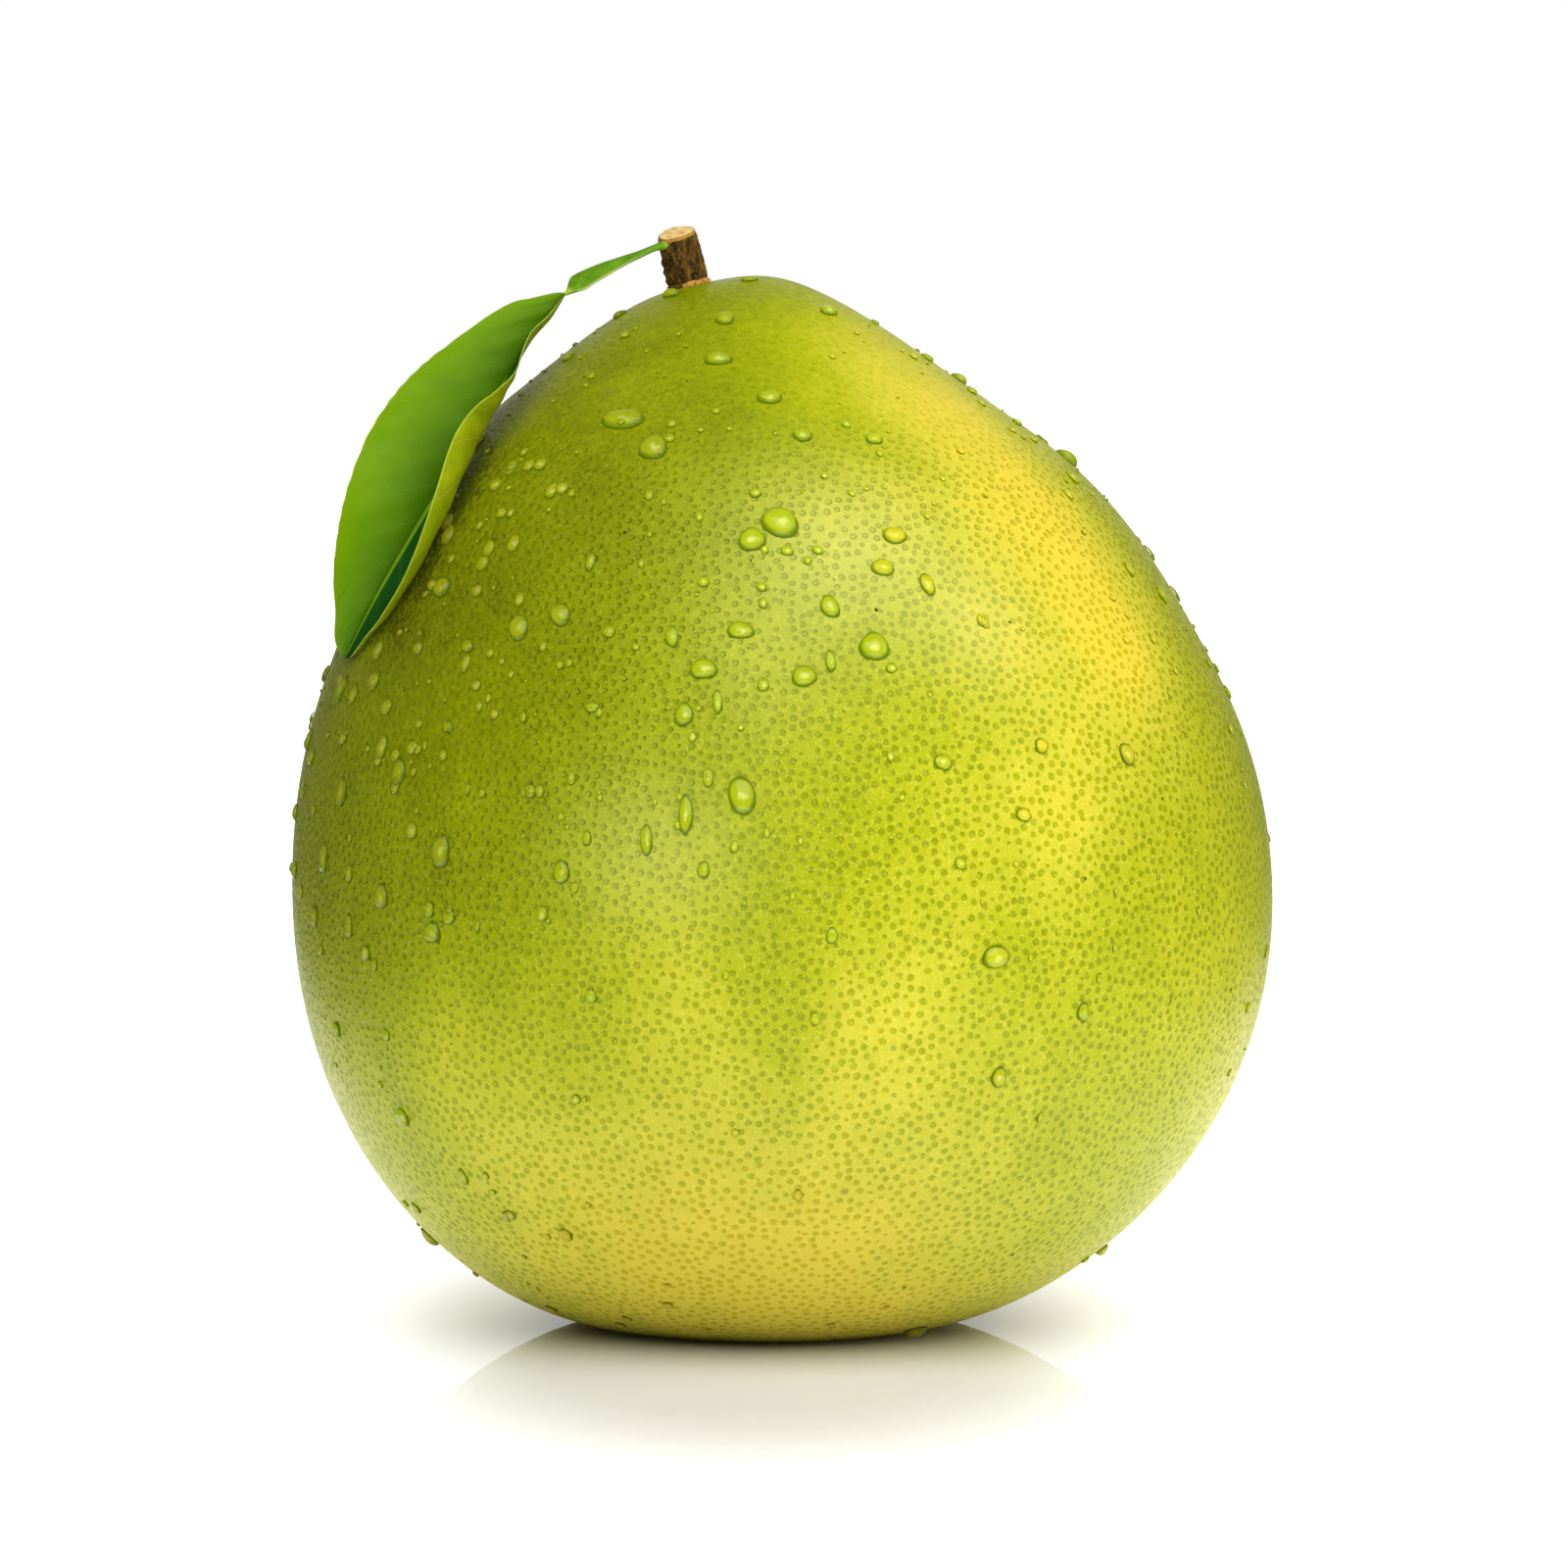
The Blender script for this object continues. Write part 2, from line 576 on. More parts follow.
# Parts of the radius and of the height: out from the middle of the foot, up the bark, over the
# cut's edge and in across the wood.
STEM_FOOT = [(0, 0), (0.5, 0), (0.86, 0), (1, 0.05)]
STEM_BARK = [(1, up) for up in np.linspace(0.08, 0.9, 46)]
STEM_CUT = [(1.0, 0.925), (0.985, 0.95), (0.97, 0.965), (0.965, 0.975), (0.955, 0.988),
            (0.93, 0.996), (0.86, 1.0), (0.7, 1.0), (0.5, 1.0), (0.25, 1.0), (0, 1.0)]
# Radians round the stem, part of its height, and rise as a part of its radius.
STEM_KNOBS = [(3.3, 0.3, 0.1), (3.1, 0.47, 0.08), (3.5, 0.14, 0.09), (4.4, 0.6, 0.05)]
KNOB_REACH_ROUND, KNOB_REACH_UP = 0.28, 0.06
BARK_COLOURS = [(0.3, 26, 14, 4), (0.45, 62, 38, 10), (0.56, 104, 72, 18), (0.7, 164, 128, 44)]
WOOD_COLOURS = [(0.3, 206, 160, 84), (0.5, 242, 208, 130), (0.75, 252, 234, 176)]
BARK_OLIVE, WOOD_RING = srgb(110, 104, 30), srgb(176, 130, 52)
BARK_FROM, BARK_TO, BARK_RELIEF = 0.03, 0.93, 0.35


def bark_material():
    """Brown bark with olive and gold streaks along the stem, and pale wood where it is cut."""
    made, tree = new_material("twig bark")
    up, out = attribute(tree, "up"), attribute(tree, "out")
    streak = noise(tree, 1100, 5.0, 0.6, stretched(tree, place_on(tree), (1, 1, 0.28)))
    fleck = noise(tree, 2400, 3.0, 0.6)
    bark = ramp(tree, streak, BARK_COLOURS)
    bark = mix(tree, rescale(tree, fleck, 0.5, 0.68, 0.0, 0.6), bark, BARK_OLIVE)
    cloud = noise(tree, 900, 4.0)
    wood = ramp(tree, cloud, WOOD_COLOURS)
    wood = mix(tree, rescale(tree, out, 0.86, 0.97), wood, WOOD_RING)
    edge = calc(tree, "MULTIPLY_ADD", calc(tree, "SUBTRACT", cloud, 0.5), 0.05, up)
    cut = rescale(tree, edge, 0.925, 0.945)
    return solid_material(made, {
        "Base Color": mix(tree, cut, bark, wood),
        "Roughness": rescale(tree, streak, 0.3, 0.7, 0.6, 0.85),
        "Specular IOR Level": 0.15,
        "Normal": bumps(tree, mix(tree, cut, streak, fleck), BARK_RELIEF),
    })


def make_stem():
    """A tapering profile turned round the stem's line, roughened by ridges that wind slightly
    along it and by knobs; bark stands a little proud of the pale wood under the cut."""
    around = round_angles(STEM_COLUMNS)
    out, up = np.hsplit(np.array(STEM_FOOT + STEM_BARK + STEM_CUT), 2)
    radius = out * (STEM_FOOT_RADIUS + (STEM_TOP_RADIUS - STEM_FOOT_RADIUS) * up)
    ridges = 0.022 * np.sin(3 * around + 2.4 * up) + 0.018 * np.cos(7 * around - 3 * up)
    fibres = 0.012 * np.sin(23 * around + 4 * np.sin(9 * up)) + 0.009 * np.sin(41 * around - 7 * up)
    warts = 0.02 * np.sin(13 * around + 5) * np.sin(31 * up + 3 * np.sin(2 * around))
    barked = (up > BARK_FROM) * (up < BARK_TO)
    radius = radius * (1 + ridges + barked * (fibres + warts))
    for knob_turn, knob_up, rise in STEM_KNOBS:
        away_round, away_up = (around - knob_turn) / KNOB_REACH_ROUND, (up - knob_up) / KNOB_REACH_UP
        near = away_round**2 + away_up**2
        radius = radius * (1 + rise * np.exp(-near) * barked)
    height = up * STEM_LENGTH + up * STEM_CUT_SLOPE * radius * np.sin(around)
    height = height + 0.05 * (up >= 0.97) * np.sin(4 * around + 1) * out
    points = np.stack([radius * np.cos(around), radius * np.sin(around), height], axis=-1)
    foot = seat + skin_square * (CALYX_HEIGHT - SINK)
    blend = np.minimum(1, up * 4)[..., None]
    points = (1 - blend) * turn_up_to(points, skin_square) + blend * turn_up_to(points, STEM_LEAN)
    return grid_piece("cut_stem", points + foot, bark_material(), up=up, out=out)


stem = make_stem()
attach(stem, "root")
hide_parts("stem")


# ------------------------------
# The leaf stalk. A green stalk grown from the twig at a small round knob. It widens into two thin
# wings, as all pomelo leaf stalks do, and closes to a narrow pale joint where the blade starts.

STALK_LINE = [(-17.2, -4.1, 164.4), (-19.0, -5.4, 164.0), (-21.6, -6.0, 162.9),
              (-24.6, -6.5, 161.6), (-27.7, -7.1, 160.1), (-29.9, -7.6, 158.9), (-32.9, -8.7, 156.8)]
STALK_RADIUS, STALK_KNOB_RADIUS, STALK_WING_SPREAD, STALK_THICKNESS = 0.6, 0.8, 1.8, 0.9
STALK_TILT, STALK_RELIEF = np.radians(27), 0.03
STALK_ROWS, STALK_COLUMNS = 90, 64
STALK_GREENS = [(0.3, 72, 124, 4), (0.6, 98, 150, 8), (0.8, 124, 170, 20)]
STALK_LINES, STALK_RIM = srgb(170, 205, 70), srgb(186, 204, 120)
STALK_JOINT, STALK_KNOB = srgb(168, 200, 52), srgb(164, 186, 70)


def smooth_line(points, parts):
    """Places and directions at equal parts of the length of a smooth line through given points.

    Between two points the line is a centripetal Catmull-Rom cubic: knots are spaced by the square
    root of the distance, and the slopes at each point follow from its two neighbours.
    """
    points = np.array(points, dtype=float)
    points = np.concatenate([[2 * points[0] - points[1]], points, [2 * points[-1] - points[-2]]])
    knots = np.sqrt(np.linalg.norm(np.diff(points, axis=0), axis=1))
    dense = []
    for at in range(len(points) - 3):
        before, here, there, after = points[at : at + 4]
        first, middle, third = knots[at : at + 3]
        leave = (here - before) / first - (there - before) / (first + middle) + (there - here) / middle
        reach = (there - here) / middle - (after - here) / (middle + third) + (after - there) / third
        t = np.linspace(0, 1, 60, endpoint=at == len(points) - 4)[:, None]
        cubic = (2 * t**3 - 3 * t**2 + 1) * here + (t**3 - 2 * t**2 + t) * leave * middle
        dense.append(cubic + (3 * t**2 - 2 * t**3) * there + (t**3 - t**2) * reach * middle)
    dense = np.concatenate(dense)
    walked = np.concatenate([[0], np.cumsum(np.linalg.norm(np.diff(dense, axis=0), axis=1))])
    walked /= walked[-1]
    slopes = np.gradient(dense, walked, axis=0)
    place, slope = (np.stack([np.interp(parts, walked, axis) for axis in values.T], axis=-1)
                    for values in (dense, slopes))
    return place, unit(slope)


def carried(line, part, front, sideways, forwards):
    """Grid points off a smooth line, a row for each part of its length. They lie sideways to its
    right, and forwards along the direction nearest to front that is square to the line."""
    place, tangent = smooth_line(line, part[:, 0])
    facing = unit(front - tangent * (tangent @ front)[:, None])
    right = unit(np.cross(facing, tangent))
    points = place[:, None] + sideways[..., None] * right[:, None]
    return points + forwards[..., None] * facing[:, None]


def stalk_material():
    """Fresh green with fine pale lines along it, pale edges, and pale joints at both ends."""
    made, tree = new_material("green leaf stalk")
    across, part = attribute(tree, "across"), attribute(tree, "part")
    cloud = noise(tree, 500, 3.0)
    lines = calc(tree, "PINGPONG", calc(tree, "MULTIPLY", across, 3.2), 0.5)
    lines = rescale(tree, lines, 0.38, 0.5, 0.0, 0.4)
    rim = calc(tree, "MULTIPLY", rescale(tree, across, 0.55, 0.95), attribute(tree, "wing"))
    green = ramp(tree, cloud, STALK_GREENS)
    for amount, paler in (
        (lines, STALK_LINES),
        (calc(tree, "MULTIPLY", rim, 0.75), STALK_RIM),
        (rescale(tree, part, 0.9, 0.97), STALK_JOINT),
        (rescale(tree, part, 0.09, 0.03), STALK_KNOB),
    ):
        green = mix(tree, amount, green, paler)
    return solid_material(made, {
        "Base Color": green,
        "Roughness": rescale(tree, cloud, 0.3, 0.7, 0.35, 0.48),
        "Specular IOR Level": 0.15,
        "Normal": bumps(tree, lines, STALK_RELIEF),
    })


def make_stalk():
    """An oval section carried along STALK_LINE. Its half width is the knob's near the twig, then
    grows into the wings by a smooth step and shuts by another; a rib stands along its middle."""
    along = np.linspace(0, np.pi, STALK_ROWS)[:, None]
    around = round_angles(STALK_COLUMNS)
    part, across = along / np.pi, np.cos(around)
    closing = np.sqrt(np.minimum(1, 4 * np.sin(along)))
    wing = smooth_step(part, 0.1, 0.8) * (1 - smooth_step(part, 0.82, 0.97))
    spread = STALK_WING_SPREAD * wing
    knob = (STALK_KNOB_RADIUS - STALK_RADIUS) * (1 - smooth_step(part, 0.05, 0.16))
    width = (STALK_RADIUS + knob + spread) * closing
    thick = np.minimum((STALK_RADIUS + knob) * closing, STALK_THICKNESS / 2 + knob)
    edge = 1 - 0.5 * wing * smooth_step(np.abs(across), 0.18, 0.5)
    lift = thick * np.sin(around) * edge + 0.12 * spread * across**2
    front = np.array([0, -np.sin(STALK_TILT), np.cos(STALK_TILT)])
    points = carried(STALK_LINE, part, front, width * across, lift)
    return grid_piece("winged_stalk", points, stalk_material(), across=across, part=part, wing=wing)


stalk = make_stalk()
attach(stalk, "root")
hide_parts("winged_petiole")


# ------------------------------
# The leaf blade. One leathery leaf that hangs down the fruit's shoulder, folded along its midrib.
# The left half lies open, and the right half stands up and rolls over, so its pale underside
# shows along the fruit.

MIDRIB_LINE = [(-32.5, -8.5, 157.1), (-34.8, -9.4, 153.8), (-37.6, -10.6, 150.4),
               (-42.1, -14.2, 143.0), (-46.2, -19.0, 136.5), (-51.3, -26.0, 127.4),
               (-55.3, -28.0, 120.7), (-59.6, -27.6, 113.4), (-62.0, -26.0, 109.0),
               (-65.3, -22.6, 102.8)]
BLADE_HALF_WIDTH, RIGHT_HALF_PART, BLADE_THICKNESS = 13.6, 0.93, 0.5
BLADE_FRONT = np.array([-0.1, -1.0, 0.06])
# How steeply the halves rise towards the front, at the rib and at their edges.
LEFT_RISE_AT_RIB, LEFT_RISE_AT_EDGE = np.radians((24, -10))
RIGHT_RISE_AT_BASE, RIGHT_RISE_AT_TIP = np.radians((86, 0))
RIGHT_ROLL_AT_EDGE, RIGHT_ROLL_LOST_AT_TIP = np.radians((146, 26))
VEIN_PAIRS, VEIN_SWEEP, VEIN_RELIEF = 11, 1.9, 0.07
BLADE_ROWS, BLADE_COLUMNS, BLADE_STEPS = 240, 240, 24
UPPER_GREENS = [(0.0, 68, 112, 2), (0.45, 88, 132, 0), (1.0, 112, 154, 0)]
LOWER_GREENS = [(0.3, 118, 138, 2), (0.7, 150, 162, 8)]
SHADED_GREEN, UPPER_VEINS, UPPER_RIB = srgb(26, 78, 20), srgb(130, 176, 40), srgb(134, 176, 30)
LOWER_VEINS, LEAF_RIM = srgb(176, 186, 60), srgb(172, 196, 70)


def leaf_material():
    """Glossy green above, lighter towards the left edge, with faint side veins and a pale midrib;
    matt yellow green below with a stronger net of veins."""
    made, tree = new_material("pomelo leaf")
    across, part = attribute(tree, "across"), attribute(tree, "part")
    walk = calc(tree, "ABSOLUTE", across)
    upper = rescale(tree, attribute(tree, "upper"), -0.25, 0.25)
    cloud, grain = noise(tree, 220, 4.0, 0.6), noise(tree, 1800, 3.0, 0.6)
    veins = calc(tree, "MULTIPLY_ADD", walk, -VEIN_SWEEP, calc(tree, "MULTIPLY", part, VEIN_PAIRS))
    veins = rescale(tree, calc(tree, "PINGPONG", veins, 0.5), 0.055, 0.0)
    shade = calc(tree, "MULTIPLY_ADD", calc(tree, "SUBTRACT", cloud, 0.5), 0.5, walk)
    top = ramp(tree, shade, UPPER_GREENS)
    top = mix(tree, rescale(tree, across, 0.0, 0.06), top, SHADED_GREEN)
    top = mix(tree, calc(tree, "MULTIPLY", veins, 0.08), top, UPPER_VEINS)
    top = mix(tree, rescale(tree, walk, 0.035, 0.012, 0.0, 0.6), top, UPPER_RIB)
    below = ramp(tree, cloud, LOWER_GREENS)
    below = mix(tree, calc(tree, "MULTIPLY", veins, 0.2), below, LOWER_VEINS)
    colour = mix(tree, upper, below, top)
    colour = mix(tree, rescale(tree, walk, 0.975, 0.995, 0.0, 0.7), colour, LEAF_RIM)
    return solid_material(made, {
        "Base Color": colour,
        "Roughness": rescale(tree, upper, 0.0, 1.0, 0.6, 0.42),
        "Specular IOR Level": 0.07,
        "Normal": bumps(tree, calc(tree, "MULTIPLY_ADD", veins, -0.6, grain), VEIN_RELIEF),
    })


def make_blade():
    """A sheet walked out from the midrib. At a part of the midrib's length the half width is
    BLADE_HALF_WIDTH sin(pi part)^blunt; the sheet's slope turns evenly from the rib to the edge,
    so its place is the sum of cosines and sines of that slope. Two faces lie half a thickness
    off it. The blade waves a little between its veins, and the midrib is a groove on top."""
    along = np.linspace(0, np.pi, BLADE_ROWS)[:, None]
    around = round_angles(BLADE_COLUMNS)
    part, across = along / np.pi, np.cos(around)
    walk, on_right = np.abs(across), across > 0
    blunt = 0.7 + 0.18 * smooth_step(part, 0.2, 0.6) - 0.25 * smooth_step(part, 0.9, 1.0)
    half = BLADE_HALF_WIDTH * np.sin(np.pi * part) ** blunt
    half = half * (1 + 0.004 * walk**4 * np.sin(130 * part + 3 * np.sin(17 * part)))
    spread = np.clip((part - 0.15) / 0.7, 0, 1)
    base = RIGHT_RISE_AT_BASE + (RIGHT_RISE_AT_TIP - RIGHT_RISE_AT_BASE) * spread
    roll = smooth_step(part, 0.25, 0.57)
    edge = RIGHT_RISE_AT_BASE + (RIGHT_ROLL_AT_EDGE - RIGHT_RISE_AT_BASE) * roll
    edge = edge - RIGHT_ROLL_LOST_AT_TIP * smooth_step(part, 0.5, 0.8)
    rise = np.where(on_right, base, LEFT_RISE_AT_RIB)
    turn = np.where(on_right, edge, LEFT_RISE_AT_EDGE) - rise
    width = np.where(on_right, RIGHT_HALF_PART * half, half)
    middles = (np.arange(BLADE_STEPS) + 0.5) / BLADE_STEPS
    slopes = rise[..., None] + turn[..., None] * walk[..., None] * middles
    out = np.cos(slopes).mean(axis=-1) * width * walk
    up = np.sin(slopes).mean(axis=-1) * width * walk
    slope = (rise + turn * walk) * np.minimum(1, walk * 8)
    face = np.sign(np.sin(around)) * np.abs(np.sin(around)) ** 0.35
    fine = np.minimum(1, np.sin(along) * 5)
    thin = 1 - 0.35 * walk**2
    lift = face * fine * thin * BLADE_THICKNESS / 2
    veins = (part * VEIN_PAIRS - VEIN_SWEEP * walk) % 1.0
    quilt = 0.09 * np.sin(2 * np.pi * veins) * np.sin(np.pi * walk) ** 0.7 * fine
    groove = -0.16 * np.exp(-((across * half / 0.35) ** 2)) * (face > 0) * fine
    ridge = -0.25 * np.exp(-((across * half / 0.45) ** 2)) * (face < 0) * fine
    lift = lift + quilt + groove + ridge
    sideways = np.where(on_right, 1.0, -1.0) * (out - lift * np.sin(slope))
    forwards = up + lift * np.cos(slope)
    points = carried(MIDRIB_LINE, part, unit(BLADE_FRONT), sideways, forwards)
    return grid_piece("leaf_blade_fresh", points, leaf_material(), across=across, part=part, upper=face)


blade = make_blade()
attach(blade, "root")
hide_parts("leaf_blade")


# ------------------------------
# The water. Drops of rinsing water that stand on the waxy rind, some run longer down the sides,
# and a spray of small beads. Each is a clear dome whose rim sits in the rind; nothing holds them.

# Degrees from the crown and round the girth, width and length in mm.
LARGE_DROPS = [
    (45.8, 273.5, 5.4, 5.4), (48.0, 269.0, 4.0, 4.0), (61.5, 283.8, 4.5, 4.5),
    (34.8, 251.2, 4.6, 4.8), (51.8, 287.5, 3.6, 2.7), (64.0, 261.5, 3.9, 3.3),
    (65.0, 274.2, 3.6, 3.3), (56.5, 278.8, 2.8, 3.6), (59.3, 266.5, 3.9, 2.7),
    (79.0, 265.8, 4.0, 5.7), (69.5, 259.0, 2.7, 3.7), (60.0, 257.3, 2.1, 3.3),
    (81.2, 259.2, 2.1, 6.0), (84.2, 254.5, 1.9, 4.5), (88.2, 244.0, 2.5, 3.7),
    (30.2, 242.0, 7.4, 4.0), (59.3, 234.5, 3.3, 4.2), (57.5, 240.8, 3.3, 3.6),
    (55.0, 218.2, 3.3, 3.3), (86.5, 227.2, 3.3, 5.2), (77.8, 219.0, 2.7, 4.0),
    (80.8, 207.5, 2.4, 4.2), (92.2, 217.5, 3.0, 3.6), (95.8, 226.0, 3.3, 3.0),
    (97.5, 294.5, 4.5, 3.3), (104.2, 306.5, 2.1, 3.0), (111.2, 296.2, 2.4, 3.3),
    (38.2, 357.5, 4.5, 3.9), (24.2, 358.2, 3.3, 2.7), (137.2, 190.5, 3.3, 3.6),
    (149.5, 214.0, 2.4, 2.1), (155.0, 313.8, 3.9, 3.0), (139.3, 348.0, 3.3, 2.4),
    (13.2, 263.5, 3.0, 3.2), (20.0, 262.8, 4.0, 3.0), (47.8, 290.8, 3.6, 3.0),
    (54.0, 293.5, 2.1, 3.9), (68.8, 247.0, 2.4, 1.5), (75.5, 316.0, 2.7, 3.6),
    (81.8, 299.0, 2.4, 2.1), (75.5, 289.8, 2.7, 2.4), (74.0, 303.2, 2.1, 2.4),
    (68.8, 200.2, 2.7, 3.9), (95.5, 201.5, 2.1, 3.3), (108.2, 204.2, 1.8, 2.4),
    (79.0, 239.5, 2.1, 2.1), (62.0, 226.5, 2.1, 2.1), (62.8, 217.2, 2.1, 2.1),
    (8.2, 214.2, 3.3, 2.6), (26.5, 276.0, 3.8, 3.0), (12.0, 319.0, 3.0, 2.6),
    (4.0, 286.0, 2.7, 1.6), (33.0, 280.8, 3.0, 2.7), (33.8, 295.2, 2.7, 2.4),
    (12.8, 192.2, 2.2, 2.4), (20.2, 199.8, 2.2, 2.2),
]
SMALL_DROPS = [
    (41.8, 270.2, 1.8, 1.8), (49.5, 274.0, 1.8, 1.8), (50.8, 276.8, 1.3, 1.3),
    (49.5, 278.5, 1.6, 1.6), (54.0, 269.8, 1.5, 1.5), (56.0, 269.8, 1.3, 1.8),
    (64.2, 285.5, 1.8, 1.5), (63.2, 277.8, 1.5, 3.6), (66.0, 269.0, 1.8, 2.1),
    (68.0, 263.2, 1.5, 3.6), (50.8, 244.3, 1.5, 3.0), (66.8, 229.5, 1.8, 1.8),
    (72.0, 226.2, 1.8, 1.8), (84.2, 247.2, 1.5, 2.1), (87.5, 261.2, 1.8, 2.4),
    (94.8, 275.5, 1.8, 2.4), (87.0, 290.5, 1.8, 1.8),
]
DROP_RISE, DROP_BULGE, DROP_LIFT = 0.52, 0.62, 0.13
GIRTH_RADIUS = 75
BEAD_COUNT, BEAD_SEED = 700, 21
SMALLEST_BEAD = 0.45
# Where the spray is thick, in degrees: round one side, and on a patch given like the rind's.
# Then, degrees from the crown: where it thins out, and the hollow left dry.
SPRAY_SIDE, SPRAY_REACH = 215, 50
SPRAY_PATCH = (40, 352, 28, 22)
SPRAY_THINS, SPRAY_LOST, DRY_HOLLOW = (60, 125), 0.85, 14
WET_COLOURS = [(0.0, 142, 138, 14), (0.3, 148, 160, 3), (0.6, 168, 182, 6), (1.0, 226, 200, 20)]
WHITE = (1.0, 1.0, 1.0, 1.0)
WET_RIM, WET_BRIGHT, WATER_RIM = srgb(106, 126, 3), srgb(232, 230, 120), srgb(176, 196, 40)


def domes(rows, rings, columns):
    """Closed drops of water on the skin, one for each row of angles and sizes, and for each point
    its place across and down the drop, as parts of its half width and half length.

    A drop is a flattened cap over an oval: height = rise (1 - s^2)^DROP_BULGE at a part s of the
    way to its rim, fullest a little below its middle. Its foot follows the skin's curve.
    """
    rows = np.array(rows, dtype=float)
    from_crown, around = np.radians(rows[:, 0]), np.radians(rows[:, 1])
    step = 0.002
    centre = skin(from_crown, around)
    down = unit(skin(from_crown + step, around) - skin(from_crown - step, around))
    side = unit(skin(from_crown, around + step) - skin(from_crown, around - step))
    square = unit(np.cross(down, side))
    wide, long = rows[:, 2, None, None] / 2, rows[:, 3, None, None] / 2
    part = np.sin(np.linspace(0, np.pi / 2, rings))
    part = np.concatenate([part, part[-2::-1]])[None, :, None]
    turn = round_angles(columns)[None]
    first, second = rows[:, 0, None, None], rows[:, 1, None, None]
    wavy = 1 + 0.05 * np.sin(2 * turn + 7 * first) + 0.04 * np.sin(3 * turn + 5 * second)
    across = part * np.cos(turn) * (1 + 0.16 * part * np.sin(turn))
    below = part * np.sin(turn)
    x, y = wide * across * wavy, long * below * wavy
    rise = DROP_RISE * np.minimum(wide, 1.25 * long)
    dome = rise * np.clip(1 - part**2, 0, None) ** DROP_BULGE * (1 + 0.22 * below)
    dome[:, rings:] = 0
    height = dome + DROP_LIFT - (x**2 + y**2) / (2 * GIRTH_RADIUS)
    height[:, rings - 1] -= 2 * DROP_LIFT
    points = centre[:, None, None] + x[..., None] * side[:, None, None]
    points = points + y[..., None] * down[:, None, None] + height[..., None] * square[:, None, None]
    faces = grid_faces(2 * rings - 1, columns)
    jump = (2 * rings - 1) * columns * np.arange(len(rows))[:, None, None]
    inside = np.stack(np.broadcast_arrays(across, below, 0.0 * x), axis=-1)
    ripe = np.broadcast_to(ripeness(from_crown, around)[:, None, None], x.shape)
    is_foot = np.arange(len(faces)) >= (rings - 1) * columns
    return (points.reshape(-1, 3), (faces[None] + jump).reshape(-1, 4), inside, ripe,
            np.tile(is_foot, len(rows)))


def bead_rows():
    """Angles and sizes of the spray: thick on the leaf's side and on its patch, thin low down,
    and none in the stem's hollow."""
    tries = np.random.default_rng(BEAD_SEED).uniform(0, 1, (4 * BEAD_COUNT, 5))
    from_crown = np.degrees(np.arccos(1 - 1.9 * tries[:, 0]))
    around = 360 * tries[:, 1]
    left = np.exp(-((degrees_from(SPRAY_SIDE, around) / SPRAY_REACH) ** 2))
    slope = hill(SPRAY_PATCH, from_crown, around)
    wanted = (0.2 + 0.8 * left) * (1 - SPRAY_LOST * smooth_step(from_crown, *SPRAY_THINS))
    wanted = (wanted + 0.6 * slope) * (from_crown > DRY_HOLLOW)
    kept = np.flatnonzero(tries[:, 2] < wanted)[:BEAD_COUNT]
    size = (1.0 + 1.2 * np.maximum(left, slope)[kept]) * tries[kept, 3] ** 2.2 + SMALLEST_BEAD
    longer = 1 + 0.9 * tries[kept, 4] ** 2 * np.sin(np.radians(from_crown[kept]))
    return np.stack([from_crown[kept], around[kept], size, size * longer], axis=-1)


def mixed_material(made, factor, first, second):
    """The material, finished with two shaders mixed by a factor."""
    inputs = {0: factor, 1: first.outputs[0], 2: second.outputs[0]}
    return finish_material(made, add_node(made.node_tree, "MixShader", inputs))


def water_material():
    """Clear water, green at its thin rim. Light on its way to the rind goes straight through."""
    made, tree = new_material("clear water")
    rim = rescale(tree, vector_length(tree, attribute(tree, "inside", "Vector")), 0.72, 0.96)
    water = add_node(tree, "BsdfPrincipled", {
        "Base Color": mix(tree, rim, WHITE, WATER_RIM),
        "Roughness": rescale(tree, noise(tree, 600, 1.0), 0.0, 1.0, 0.01, 0.03),
        "IOR": 1.333,
        "Transmission Weight": 1.0,
    })
    shadow = add_node(tree, "LightPath").outputs["Is Shadow Ray"]
    return mixed_material(made, shadow, water, add_node(tree, "BsdfTransparent"))


def wet_rind_material():
    """The rind seen through a drop: deeper in colour, dark at the drop's rim, and a little paler
    where the drop gathers the light, near its middle."""
    made, tree = new_material("rind under water")
    ripe = attribute(tree, "ripeness")
    cloud = swing(tree, 900, 3.0)
    wet = ramp(tree, calc(tree, "MULTIPLY_ADD", cloud, 0.3, ripe), WET_COLOURS)
    inside = attribute(tree, "inside", "Vector")
    away = vector_length(tree, inside)
    colour = mix(tree, rescale(tree, away, 0.6, 0.95, 0.0, 0.8), wet, WET_RIM)
    bright = vector_length(tree, stretched(tree, inside, (1, 1, 1), (-0.06, -0.1, 0)))
    bright = rescale(tree, calc(tree, "MULTIPLY_ADD", cloud, 1.1, bright), 0.3, 0.1)
    bright = calc(tree, "MULTIPLY", bright, rescale(tree, ripe, 0.1, 0.6, 0.2, 0.45))
    return solid_material(made, {
        "Base Color": mix(tree, bright, colour, WET_BRIGHT),
        "Roughness": rescale(tree, away, 0.0, 1.0, 0.5, 0.7),
        "Specular IOR Level": 0.05,
    })


water, wet_rind = water_material(), wet_rind_material()
for name, rows, rings, columns in (
    ("large_water_drops", LARGE_DROPS, 14, 36),
    ("small_water_drops", SMALL_DROPS, 8, 20),
    ("water_beads", bead_rows(), 4, 10),
):
    points, faces, inside, ripe, is_foot = domes(rows, rings, columns)
    drops = new_piece(name, points, faces, water)
    drops.data.materials.append(wet_rind)
    drops.data.polygons.foreach_set("material_index", is_foot.astype(np.int32))
    add_attribute(drops, "inside", inside, "FLOAT_VECTOR")
    add_attribute(drops, "ripeness", ripe)
    close_up(drops)
    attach(drops, "root")


